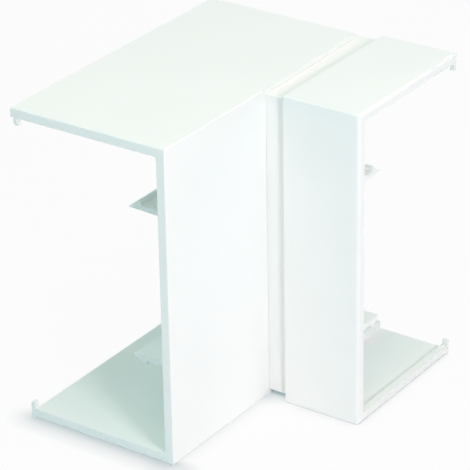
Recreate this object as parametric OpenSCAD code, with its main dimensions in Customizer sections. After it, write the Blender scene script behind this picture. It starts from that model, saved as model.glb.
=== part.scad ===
// Two-part internal corner for wall trunking.
// Two C-section hoods cover the trunking on the two walls of a room's inside corner.
// The long hood carries the corner plates. The short hood has a stepped-in tongue that
// slides under them on two curved rails, so the corner swings a few degrees about its
// front seam and fits walls that aren't square.
// Origin: the foot of the line where the two walls meet. The long arm runs along -Y on
// the wall X = 0, the short arm along +X on the wall Y = 0, +Z is up.

/* [Trunking] */
// Height of the trunking that the hoods cover
trunk_h = 130; // [110:1:170]
// Depth of the trunking, from the wall to its front
trunk_d = 70; // [56:1:90]
// Clearance between the trunking and the rims, on each side
slip = 0.1; // [0:0.05:0.3]

/* [Shells] */
// Wall thickness of both hoods
wall = 2.2; // [1.8:0.1:2.8]
// Thickness of the rim round each open end
rim_t = 3.9; // [3.4:0.1:5]
// Width of the rim along its arm
rim_w = 3.1; // [2:0.1:5]
// Radius of the fillet inside, between web and flange
fillet_r = 1.2; // [0.6:0.1:1.6]
// Radius of the long outer edges
edge_r = 0.6; // [0.3:0.1:1]
// Radius of the outer edges at the open end of the short hood
short_end_r = 1.4; // [0.6:0.1:1.8]
// Radius of the outer edges at the open end of the long hood
long_end_r = 0.5; // [0.3:0.1:1.8]

/* [Arms] */
// Length of the long arm, from the inside corner to its open end
arm_long = 66; // [52:1:120]
// Length of the short arm, from the inside corner to its open end
arm_short = 45; // [43:1:120]

/* [Wall side] */
// How far the long hood's lower flange stops short of the wall that the upper one touches
low_set_long = 2.4; // [0.4:0.1:4]
// How far the short hood's lower flange stops short of its wall
low_set_short = 1.6; // [0.4:0.1:4]
// How far the lower hooks stand nearer the wall than their flange's edge
hook_lead = 0.2; // [0:0.1:0.4]
// Distance of the long hood's upper hook from the wall
top_hook_long = 1.4; // [0:0.1:3]
// Distance of the short hood's upper hook from the wall
top_hook_short = 0; // [0:0.1:3]

/* [Corner plates] */
// Gap between the corner plates and the second wall, at the walls' corner
plate_gap_wall = 2.6; // [2:0.1:6]
// Gap between the corner plates and the second wall, at the groove
plate_gap_groove = 3.9; // [2:0.1:6]
// How far the plates' edge at the groove slants back at the second wall
plate_slant = 1.5; // [0:0.1:2]

/* [Groove and tongue] */
// Width of the open groove between the two hoods
groove_w = 9.6; // [9:0.1:12]
// Sliding gap between the tongue and the corner plates
slide_gap = 0.15; // [0.1:0.05:0.3]
// Thickness of the tongue's upper and lower plate
tongue_t = 3.5; // [1.8:0.1:4]
// Thickness of the tongue's front wall
tongue_front_t = 2; // [1.6:0.1:2.4]
// How far the tongue reaches under the corner plates
tongue_reach = 14; // [13:0.5:24]
// Length over which the tongue is joined to the short hood
tongue_root = 1.5; // [1.2:0.1:4]
// How far the tongue's back edges stop short of the flanges' own
tongue_back = 0.3; // [0:0.1:3]
// Gap between the long hood's web and the tongue's face
seam_gap = 0.15; // [0.1:0.05:0.4]

/* [Swivel] */
// Swing of the short hood each way, in degrees
swing = 5; // [2:0.5:6]
// Radius of the curved rails about the front seam, at the middle of their width
rail_r = 9; // [8:0.1:9.5]
// Width of the rails
rail_w = 2; // [1.6:0.1:2.6]
// Height of the rails above the tongue's faces
rail_h = 1.2; // [0.8:0.1:1.4]
// Length of the rails, in degrees about the seam
rail_arc = 48; // [30:1:52]
// Clearance on each side of a rail in its track
rail_fit = 0.15; // [0.1:0.05:0.3]
// Clearance at the bottom of a track
rail_end_gap = 0.15; // [0.1:0.05:0.2]

/* [Wall hooks] */
// Thickness of the hooks at the wall side of the rims
hook_t = 1.6; // [1.3:0.1:2.4]
// Width of the hooks along their arm
hook_w = 2; // [1.4:0.1:5]
// Height of a hook from the hood's outer face
hook_h = 7.1; // [6.5:0.1:10]
// How far the nib of a hook reaches inward
nib_l = 0.5; // [0.3:0.1:1.5]
// Thickness of the nib
nib_t = 1.1; // [0.8:0.1:1.6]

/* [Clip legs] */
// Distance between the inner faces of an upper and a lower clip leg, at their tips
clip_span = 65.2; // [56:0.2:72]
// How much nearer together the legs are at the web than at their tips, each
clip_splay = 0.8; // [0:0.1:1.5]
// Reach of the legs, from the front face of the web
clip_reach = 28; // [22:0.2:32]
// Thickness of the legs
clip_t = 2.2; // [1.8:0.1:2.6]
// Width of the legs along their arm
clip_w = 24; // [14:1:24]
// Distance from the long hood's open end to its legs
clip_inset_long = 13.7; // [8:0.1:20]
// Distance from the short hood's open end to its legs
clip_inset_short = 7.9; // [5:0.1:10]
// Height of the barb's nose over the leg's inner face
barb_h = 4.2; // [3.8:0.1:5.5]
// Length of the barb's lead-in, from the tip to the nose
barb_l = 4.8; // [4:0.1:6]
// Height of the small retaining rib behind the barb
rib_h = 0.5; // [0.3:0.1:0.8]
// Thickness of the blunt tip
tip_t = 0.4; // [0.3:0.1:1]

/* [Hidden] */
$fn = 48;

eps = 0.01;
cut = 1;
height = trunk_h + 2 * (rim_t + slip);
depth = trunk_d + slip + rim_t;
recess = wall + slide_gap;
long_end = depth + arm_long;
short_end = depth + arm_short;
short_len = arm_short - groove_w;
web_len_long = arm_long + recess - seam_gap;
tongue_x = depth - tongue_reach;
tongue_end = depth + groove_w + tongue_root;
tongue_face = -depth + recess;
seam = tongue_face - seam_gap;
// Corner of the tongue that is cut off, clear of the rails
tongue_cut = 2;
// How far the tongue's front wall passes behind the long hood's web
face_lap = 1.5;
// Room that the rails, the web's end and the tracks leave beyond the swing, in degrees
spare = 1.5;
rail_mid = 135;
track_arc = rail_arc + 2 * (swing + spare);
barb_step = 0.6;
leg_root = 1.2;
body_colour = [0.93, 0.95, 0.93];
tongue_colour = [0.91, 0.94, 0.93];

// Takes the sharp corner off a profile whose corner is at the origin
module corner_cut(r) {
    difference() {
        translate([-r, -r]) square([r + cut, r + cut]);
        translate([-r, -r]) circle(r);
    }
}

// Rectangle [u0, u1] x [0, height] with both corners at u1 rounded
module tall_profile(u0, u1, low, high, r) {
    difference() {
        translate([u0, low]) square([u1 - u0, high - low]);
        translate([u1, high]) corner_cut(r);
        translate([u1, low]) mirror([0, 1]) corner_cut(r);
    }
}

// Extrudes a (u, z) profile along an arm, from the open end
module along_arm(len, from = 0) {
    translate([0, from + len, 0]) rotate([90, 0, 0]) linear_extrude(len) children();
}

// Plan of an arm: a strip with its corner at the open end of the web rounded
module arm_plan(len, r) {
    difference() {
        square([depth, len]);
        translate([depth, 0]) mirror([0, 1]) corner_cut(r);
    }
}

// Both halves of what is the same above and below the middle
module both_flanges() {
    children();
    translate([0, 0, height]) mirror([0, 0, 1]) children();
}

// Solid outer form of an arm with its rounded edges
module arm_block(len, end_r) {
    intersection() {
        linear_extrude(height) arm_plan(len, end_r);
        along_arm(len) tall_profile(0, depth, 0, height, edge_r);
        rotate([90, 0, 90]) linear_extrude(depth)
            mirror([1, 0]) translate([-len, 0]) tall_profile(0, len, 0, height, end_r);
    }
}

// C-section of an arm: web and two flanges, open to the wall
module arm_shell(len, end_r) {
    difference() {
        arm_block(len, end_r);
        along_arm(len + 2 * cut, -cut)
            tall_profile(-cut, depth - wall, wall, height - wall, fillet_r);
    }
}

// Thicker rim round the open end
module rim(end_r) {
    intersection() {
        arm_block(rim_w + cut, end_r);
        along_arm(rim_w) difference() {
            square([depth, height]);
            tall_profile(-cut, depth - rim_t, rim_t, height - rim_t, fillet_r);
        }
    }
}

// Hook profile at the wall side of a rim: an upright and an inward nib
module hook_profile() {
    difference() {
        square([hook_t, hook_h]);
        translate([0, hook_h]) mirror([1, 0]) corner_cut(nib_t);
    }
    translate([nib_t, hook_h - nib_t]) square([hook_t + nib_l - nib_t, nib_t]);
}

module hooks(top_hook, low_set) {
    along_arm(hook_w) translate([low_set - hook_lead, 0]) hook_profile();
    translate([0, 0, height]) mirror([0, 0, 1])
        along_arm(hook_w) translate([top_hook, 0]) hook_profile();
}

// Clears the lower flange's wall side: back to the hook in the rim, further behind it
module low_edge_cut(len, low_set) {
    translate([-cut, -cut, -cut])
        cube([low_set - hook_lead + cut, rim_w + cut, height / 2]);
    translate([-cut, rim_w, -cut]) cube([low_set + cut, len, height / 2]);
}

// Barbed leg, drawn from the web inward, its barb towards the near flange. Each point is
// moved by the splay, which is full at the web and nothing at the tip.
function splayed(points) = [
    for (p = points) [p[0], p[1] - clip_splay * (clip_reach - p[0]) / (clip_reach - wall)]
];

module leg_profile() {
    root = wall + leg_root;
    nose = clip_reach - barb_l;
    catch = nose - barb_step;
    rib = catch - 2 * clip_t;
    polygon(splayed([
        [wall - cut, 0],
        [clip_reach, 0],
        [clip_reach, tip_t],
        [nose, barb_h],
        [nose - barb_step, barb_h],
        [catch - barb_step, clip_t],
        [rib, clip_t],
        [rib - rib_h, clip_t + rib_h],
        [rib - 2 * rib_h, clip_t + rib_h],
        [rib - 3 * rib_h, clip_t],
        [root, clip_t],
        [wall, clip_t + leg_root],
        [wall - cut, clip_t + leg_root]
    ]));
}

module clip_legs(inset) {
    both_flanges() along_arm(clip_w, inset)
        translate([depth, (height - clip_span) / 2]) mirror([1, 0]) mirror([0, 1])
            leg_profile();
}

// One arm with what both hoods share
module arm(len, end_r, inset, top_hook, low_set) {
    arm_shell(len, end_r);
    rim(end_r);
    hooks(top_hook, low_set);
    clip_legs(inset);
}

// Corner plate of the long hood, seen from above in the object's frame
module corner_plate() {
    front = -depth - eps;
    polygon([
        [0, front],
        [depth, front],
        [depth, tongue_face],
        [depth - plate_slant, -plate_gap_groove],
        [0, -plate_gap_wall]
    ]);
}

// Places a module that is drawn in an arm's frame on the wall Y = 0
module on_short_wall() {
    translate([short_end, 0, 0]) rotate([0, 0, 180]) mirror([1, -1, 0]) children();
}

// Curved bar about the front seam, for the rails and, a little larger, for their tracks
module curved_bar(arc, w, h) {
    translate([depth, tongue_face, 0]) rotate([0, 0, rail_mid - arc / 2])
        rotate_extrude(angle = arc) translate([rail_r - w / 2, 0]) square([w, h]);
}

module track() {
    translate([0, 0, wall + slide_gap - rail_h - rail_end_gap])
        curved_bar(track_arc, rail_w + 2 * rail_fit, wall);
}

// Slopes the end of the long hood's web back, so that the tongue can swing behind it
module seam_relief() {
    back = wall + fillet_r + cut;
    translate([0, 0, wall]) linear_extrude(height - 2 * wall) polygon([
        [depth, seam],
        [depth, seam + cut],
        [depth - back, seam + cut],
        [depth - back, seam - back * tan(swing + spare)]
    ]);
}

module long_hood() {
    color(body_colour) difference() {
        union() {
            translate([0, -long_end, 0])
                arm(web_len_long, long_end_r, clip_inset_long, top_hook_long, low_set_long);
            both_flanges() linear_extrude(wall) corner_plate();
        }
        both_flanges() track();
        seam_relief();
        translate([0, -long_end, 0]) low_edge_cut(long_end, low_set_long);
    }
}

// Top or bottom plate of the tongue, seen from above, its back edge at -back
module tongue_plan(back) {
    polygon([
        [tongue_x, tongue_face + tongue_cut],
        [tongue_x + tongue_cut, tongue_face],
        [tongue_end, tongue_face],
        [tongue_end, -back],
        [tongue_x, -back]
    ]);
}

// Lower plate of the tongue with its rail and its joint to the flange
module tongue_plate(back) {
    translate([0, 0, recess]) linear_extrude(tongue_t) tongue_plan(back);
    translate([depth + groove_w, tongue_face, wall - eps])
        cube([tongue_root, -back - tongue_face, slide_gap + 2 * eps]);
    translate([0, 0, recess - rail_h]) curved_bar(rail_arc, rail_w, rail_h + eps);
}

// Stepped-in tongue: two plates and a front wall, joined to the short hood
module tongue() {
    face_x = depth - wall - face_lap;
    tongue_plate(low_set_short + tongue_back);
    translate([0, 0, height]) mirror([0, 0, 1]) tongue_plate(tongue_back);
    translate([face_x, tongue_face, recess])
        cube([tongue_end - face_x, tongue_front_t, height - 2 * recess]);
    translate([depth + groove_w, tongue_face - slide_gap - eps, wall])
        cube([tongue_root, slide_gap + 2 * eps, height - 2 * wall]);
}

module short_hood() {
    color(tongue_colour) {
        on_short_wall() difference() {
            arm(short_len, short_end_r, clip_inset_short, top_hook_short, low_set_short);
            low_edge_cut(short_len + cut, low_set_short);
        }
        tongue();
    }
}

long_hood();
short_hood();
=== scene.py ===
"""Looks of the trunking internal corner: materials, floor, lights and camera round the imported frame."""

from math import cos, radians, sin

import bpy
from mathutils import Matrix, Vector

# Camera, solved from the photograph's edges
FRAME_PX = 470
FOCAL_PX = 2623.57
SENSOR_MM = 36.0
CAMERA_POS = (0.60769, -0.85679, 0.54734)
CAMERA_AZIMUTH = 35.0
CAMERA_ELEVATION = 26.5
CAMERA_ROLL = -1.05
CLIP_NEAR = 0.05
CLIP_FAR = 50.0

# Moulded plastic
BODY_PALE = (0.905, 0.925, 0.905)
BODY_DEEP = (0.885, 0.915, 0.895)
PLASTIC_ROUGH = (0.34, 0.42)
PLASTIC_IOR = 1.49
EDGE_BEVEL = 0.00022
BEVEL_STEPS = 2
SMOOTH_ANGLE = 30.0
# Noises, each as scale and detail, and the share of a noise's range that is used
DRIFT_NOISE = (14.0, 2.0)
SHEEN_NOISE = (55.0, 4.0)
SKIN_NOISE = (1600.0, 2.0)
DRIFT_RANGE = (0.35, 0.65)
SHEEN_RANGE = (0.3, 0.7)
SKIN_STRENGTH = 0.06
SKIN_DEPTH = 0.00005

# Floor and world
FLOOR_HALF = 6.0
FLOOR_COLOR = (0.90, 0.90, 0.90)
FLOOR_LIFT = 0.96
FLOOR_GLOW = (0.985, 0.985, 0.985)  # just under white, against clipping
# Painted contact shadow, put into the floor's glow colour from ambient occlusion: reach, colour, then
# strength and fall where the floor is open, and where the long arm's end shades it
CONTACT_REACH = 0.012
CONTACT_SAMPLES = 16
CONTACT_COLOR = (1.18, 1.0, 0.94)
CONTACT_OPEN = (0.72, 3.0)
CONTACT_SHADED = (0.62, 0.62)
SHADED_FROM_Y = -0.132
SHADED_TO_Y = -0.142
# Surroundings: where each soft lobe of light comes from and its colour
SURROUNDINGS = {
    "front": ((0.0, -1.0, 0.0), (0.00, 0.21, 0.32)),
    "left": ((-1.0, 0.0, 0.0), (0.38, 0.77, 0.75)),
    "back": ((0.0, 1.0, 0.0), (0.71, 0.75, 0.65)),
}

# Lamps: azimuth from -Y towards +X, elevation, distance, size, power, colour
AIM = Vector((0.05, -0.06, 0.06))
LAMPS = {
    "key": (60.0, 24.0, 1.20, 0.30, 6.10, (1.00, 0.93, 0.98)),
    "top": (45.0, 80.0, 0.90, 0.60, 3.16, (1.00, 0.85, 0.78)),
    "front": (20.0, 50.0, 2.20, 1.20, 6.83, (1.00, 0.80, 0.58)),
    "side": (95.0, 45.0, 2.20, 1.20, 5.29, (0.85, 0.83, 1.00)),
}


def shader_tree(name):
    """A new material and its Principled shader."""
    material = bpy.data.materials.new(name)
    material.use_nodes = True
    tree = material.node_tree
    return material, tree, tree.nodes["Principled BSDF"]


def noise(tree, scale, detail):
    """Noise in object space, so that it stays with the part."""
    coords = tree.nodes.new("ShaderNodeTexCoord")
    texture = tree.nodes.new("ShaderNodeTexNoise")
    texture.inputs["Scale"].default_value = scale
    texture.inputs["Detail"].default_value = detail
    tree.links.new(coords.outputs["Object"], texture.inputs["Vector"])
    return texture


def spread(tree, source, low, high):
    """Maps the used range of a noise on to a range of values."""
    node = tree.nodes.new("ShaderNodeMapRange")
    node.inputs["From Min"].default_value = SHEEN_RANGE[0]
    node.inputs["From Max"].default_value = SHEEN_RANGE[1]
    node.inputs["To Min"].default_value = low
    node.inputs["To Max"].default_value = high
    tree.links.new(source, node.inputs["Value"])
    return node.outputs["Result"]


def moulded_plastic(name, pale, deep, rough):
    """Satin moulded plastic: faint colour drift, uneven sheen and a fine moulded skin."""
    material, tree, shader = shader_tree(name)
    drift = noise(tree, *DRIFT_NOISE)
    ramp = tree.nodes.new("ShaderNodeValToRGB")
    ramp.color_ramp.elements[0].position = DRIFT_RANGE[0]
    ramp.color_ramp.elements[0].color = (*deep, 1.0)
    ramp.color_ramp.elements[1].position = DRIFT_RANGE[1]
    ramp.color_ramp.elements[1].color = (*pale, 1.0)
    tree.links.new(drift.outputs["Fac"], ramp.inputs["Fac"])
    tree.links.new(ramp.outputs["Color"], shader.inputs["Base Color"])
    sheen = noise(tree, *SHEEN_NOISE)
    tree.links.new(spread(tree, sheen.outputs["Fac"], *rough), shader.inputs["Roughness"])
    skin = noise(tree, *SKIN_NOISE)
    bump = tree.nodes.new("ShaderNodeBump")
    bump.inputs["Strength"].default_value = SKIN_STRENGTH
    bump.inputs["Distance"].default_value = SKIN_DEPTH
    tree.links.new(skin.outputs["Fac"], bump.inputs["Height"])
    tree.links.new(bump.outputs["Normal"], shader.inputs["Normal"])
    shader.inputs["IOR"].default_value = PLASTIC_IOR
    return material


def dress(node, material):
    """Gives a CAD node its material, smooth fillets and softened arrises."""
    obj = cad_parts[node]
    obj.data.materials.clear()
    obj.data.materials.append(material)
    obj.data.shade_smooth()
    obj.data.set_sharp_from_angle(angle=radians(SMOOTH_ANGLE))
    bevel = obj.modifiers.new("arris", "BEVEL")
    bevel.width = EDGE_BEVEL
    bevel.segments = BEVEL_STEPS
    bevel.limit_method = "ANGLE"
    bevel.angle_limit = radians(SMOOTH_ANGLE)
    bevel.use_clamp_overlap = True
    bevel.harden_normals = True


def scalar_math(tree, operation, first, second):
    """A clamped maths node on two sockets or constants, and its output."""
    node = tree.nodes.new("ShaderNodeMath")
    node.operation = operation
    node.use_clamp = True
    for socket, value in zip(node.inputs, (first, second)):
        if isinstance(value, bpy.types.NodeSocket):
            tree.links.new(value, socket)
        else:
            socket.default_value = value
    return node.outputs[0]


def camera_ray_factor(tree):
    """1 for rays that should see a white background, 0 for the light on the object."""
    path = tree.nodes.new("ShaderNodeLightPath").outputs
    either = scalar_math(tree, "MAXIMUM", path["Is Camera Ray"], path["Is Glossy Ray"])
    return scalar_math(tree, "MAXIMUM", either, path["Is Transmission Ray"])


def vector_math(tree, operation, first, second):
    """A vector node on a socket and a constant or another socket."""
    node = tree.nodes.new("ShaderNodeVectorMath")
    node.operation = operation
    tree.links.new(first, node.inputs[0])
    if isinstance(second, bpy.types.NodeSocket):
        tree.links.new(second, node.inputs[1])
    else:
        node.inputs[1].default_value = second
    return node


def surroundings(tree):
    """Sum of the soft lobes of light, brightest in the middle of each."""
    coords = tree.nodes.new("ShaderNodeTexCoord").outputs["Generated"]
    total = None
    for axis, color in SURROUNDINGS.values():
        facing = vector_math(tree, "DOT_PRODUCT", coords, axis).outputs["Value"]
        clamp = tree.nodes.new("ShaderNodeClamp")
        tree.links.new(facing, clamp.inputs["Value"])
        tint = tree.nodes.new("ShaderNodeVectorMath")
        tint.operation = "SCALE"
        tint.inputs[0].default_value = color
        tree.links.new(clamp.outputs["Result"], tint.inputs["Scale"])
        lobe = tint.outputs["Vector"]
        total = lobe if total is None else vector_math(tree, "ADD", total, lobe).outputs["Vector"]
    return total


def make_world():
    """Even white surroundings: pale light on the object, plain white behind it."""
    world = bpy.data.worlds.new("studio")
    bpy.context.scene.world = world
    world.use_nodes = True
    tree = world.node_tree
    tree.nodes.clear()
    light = tree.nodes.new("ShaderNodeBackground")
    tree.links.new(surroundings(tree), light.inputs["Color"])
    white = tree.nodes.new("ShaderNodeBackground")
    white.inputs["Color"].default_value = (1.0, 1.0, 1.0, 1.0)
    white.inputs["Strength"].default_value = 1.0
    mix = tree.nodes.new("ShaderNodeMixShader")
    out = tree.nodes.new("ShaderNodeOutputWorld")
    tree.links.new(camera_ray_factor(tree), mix.inputs["Fac"])
    tree.links.new(light.outputs[0], mix.inputs[1])
    tree.links.new(white.outputs[0], mix.inputs[2])
    tree.links.new(mix.outputs[0], out.inputs["Surface"])


def contact_shade(tree):
    """Painted shade: how much the floor's glow darkens where the part stands close over it, from ambient
    occlusion and a band across Y.
    """
    contact = tree.nodes.new("ShaderNodeAmbientOcclusion")
    contact.samples = CONTACT_SAMPLES
    contact.inputs["Distance"].default_value = CONTACT_REACH
    hidden = scalar_math(tree, "SUBTRACT", 1.0, contact.outputs["AO"])
    coords = tree.nodes.new("ShaderNodeTexCoord")
    place = tree.nodes.new("ShaderNodeSeparateXYZ")
    tree.links.new(coords.outputs["Object"], place.inputs["Vector"])
    shaded = tree.nodes.new("ShaderNodeMapRange")
    shaded.interpolation_type = "SMOOTHSTEP"
    shaded.inputs["From Min"].default_value = SHADED_FROM_Y
    shaded.inputs["From Max"].default_value = SHADED_TO_Y
    tree.links.new(place.outputs["Y"], shaded.inputs["Value"])

    def strength(amount, fall):
        return scalar_math(tree, "MULTIPLY", scalar_math(tree, "POWER", hidden, fall), amount)

    under = scalar_math(tree, "MULTIPLY", strength(*CONTACT_SHADED), shaded.outputs["Result"])
    return scalar_math(tree, "MAXIMUM", under, strength(*CONTACT_OPEN))


def floor_material():
    """Matt white floor, lifted towards white for the camera, with its contact shadow painted into the
    glow colour.
    """
    material, tree, shader = shader_tree("floor")
    shader.inputs["Base Color"].default_value = (*FLOOR_COLOR, 1.0)
    shader.inputs["Roughness"].default_value = 1.0
    shader.inputs["Specular IOR Level"].default_value = 0.0
    # Painted contact shadow: ambient occlusion darkens and tints the glow colour that the camera sees
    glow = tree.nodes.new("ShaderNodeEmission")
    tint = tree.nodes.new("ShaderNodeVectorMath")
    tint.operation = "SCALE"
    tint.inputs[0].default_value = CONTACT_COLOR
    tree.links.new(contact_shade(tree), tint.inputs["Scale"])
    pale = tree.nodes.new("ShaderNodeVectorMath")
    pale.operation = "SUBTRACT"
    pale.inputs[0].default_value = FLOOR_GLOW
    tree.links.new(tint.outputs["Vector"], pale.inputs[1])
    tree.links.new(pale.outputs["Vector"], glow.inputs["Color"])
    lift = scalar_math(tree, "MULTIPLY", camera_ray_factor(tree), FLOOR_LIFT)
    mix = tree.nodes.new("ShaderNodeMixShader")
    tree.links.new(lift, mix.inputs["Fac"])
    tree.links.new(shader.outputs[0], mix.inputs[1])
    tree.links.new(glow.outputs[0], mix.inputs[2])
    tree.links.new(mix.outputs[0], tree.nodes["Material Output"].inputs["Surface"])
    return material


def make_floor():
    """The plain floor, level with the underside of the part."""
    mesh = bpy.data.meshes.new("floor")
    h = FLOOR_HALF
    mesh.from_pydata([(-h, -h, 0), (h, -h, 0), (h, h, 0), (-h, h, 0)], [], [(0, 1, 2, 3)])
    floor = bpy.data.objects.new("floor", mesh)
    mesh.materials.append(floor_material())
    bpy.context.scene.collection.objects.link(floor)


def direction(azimuth, elevation):
    """Unit vector from the object, azimuth from -Y towards +X."""
    a, e = radians(azimuth), radians(elevation)
    return Vector((sin(a) * cos(e), -cos(a) * cos(e), sin(e)))


def make_lamps():
    """The soft studio lamps, each turned to the part."""
    for name, (azimuth, elevation, distance, size, power, color) in LAMPS.items():
        data = bpy.data.lights.new(name, "AREA")
        data.shape = "DISK"
        data.size = size
        data.energy = power
        data.color = color
        lamp = bpy.data.objects.new(name, data)
        towards = direction(azimuth, elevation)
        lamp.visible_camera = False
        lamp.location = AIM + towards * distance
        lamp.rotation_euler = towards.to_track_quat("Z", "Y").to_euler()
        bpy.context.scene.collection.objects.link(lamp)


def make_camera():
    """The camera, at the photo's place and angle."""
    data = bpy.data.cameras.new("camera")
    data.sensor_fit = "HORIZONTAL"
    data.sensor_width = SENSOR_MM
    data.lens = FOCAL_PX / FRAME_PX * SENSOR_MM
    data.clip_start = CLIP_NEAR
    data.clip_end = CLIP_FAR
    camera = bpy.data.objects.new("camera", data)
    back = direction(CAMERA_AZIMUTH, CAMERA_ELEVATION)
    level = Vector((0, 0, 1)).cross(back).normalized()
    upright = back.cross(level)
    roll = radians(CAMERA_ROLL)
    right = level * cos(roll) + upright * sin(roll)
    up = back.cross(right)
    turn = Matrix((right, up, back)).transposed().to_4x4()
    camera.matrix_world = Matrix.Translation(CAMERA_POS) @ turn
    bpy.context.scene.collection.objects.link(camera)
    bpy.context.scene.camera = camera


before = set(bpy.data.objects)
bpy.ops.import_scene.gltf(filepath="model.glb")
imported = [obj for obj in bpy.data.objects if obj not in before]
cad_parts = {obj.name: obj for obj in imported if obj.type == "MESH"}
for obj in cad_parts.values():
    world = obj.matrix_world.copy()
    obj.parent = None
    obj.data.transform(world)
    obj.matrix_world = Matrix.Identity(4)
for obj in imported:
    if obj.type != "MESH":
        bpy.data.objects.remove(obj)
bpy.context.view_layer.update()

make_camera()
make_world()
make_floor()
make_lamps()
body = moulded_plastic("moulded_white", BODY_PALE, BODY_DEEP, PLASTIC_ROUGH)
dress("long_hood", body)
dress("short_hood", body)
bpy.context.scene.view_settings.view_transform = "Standard"
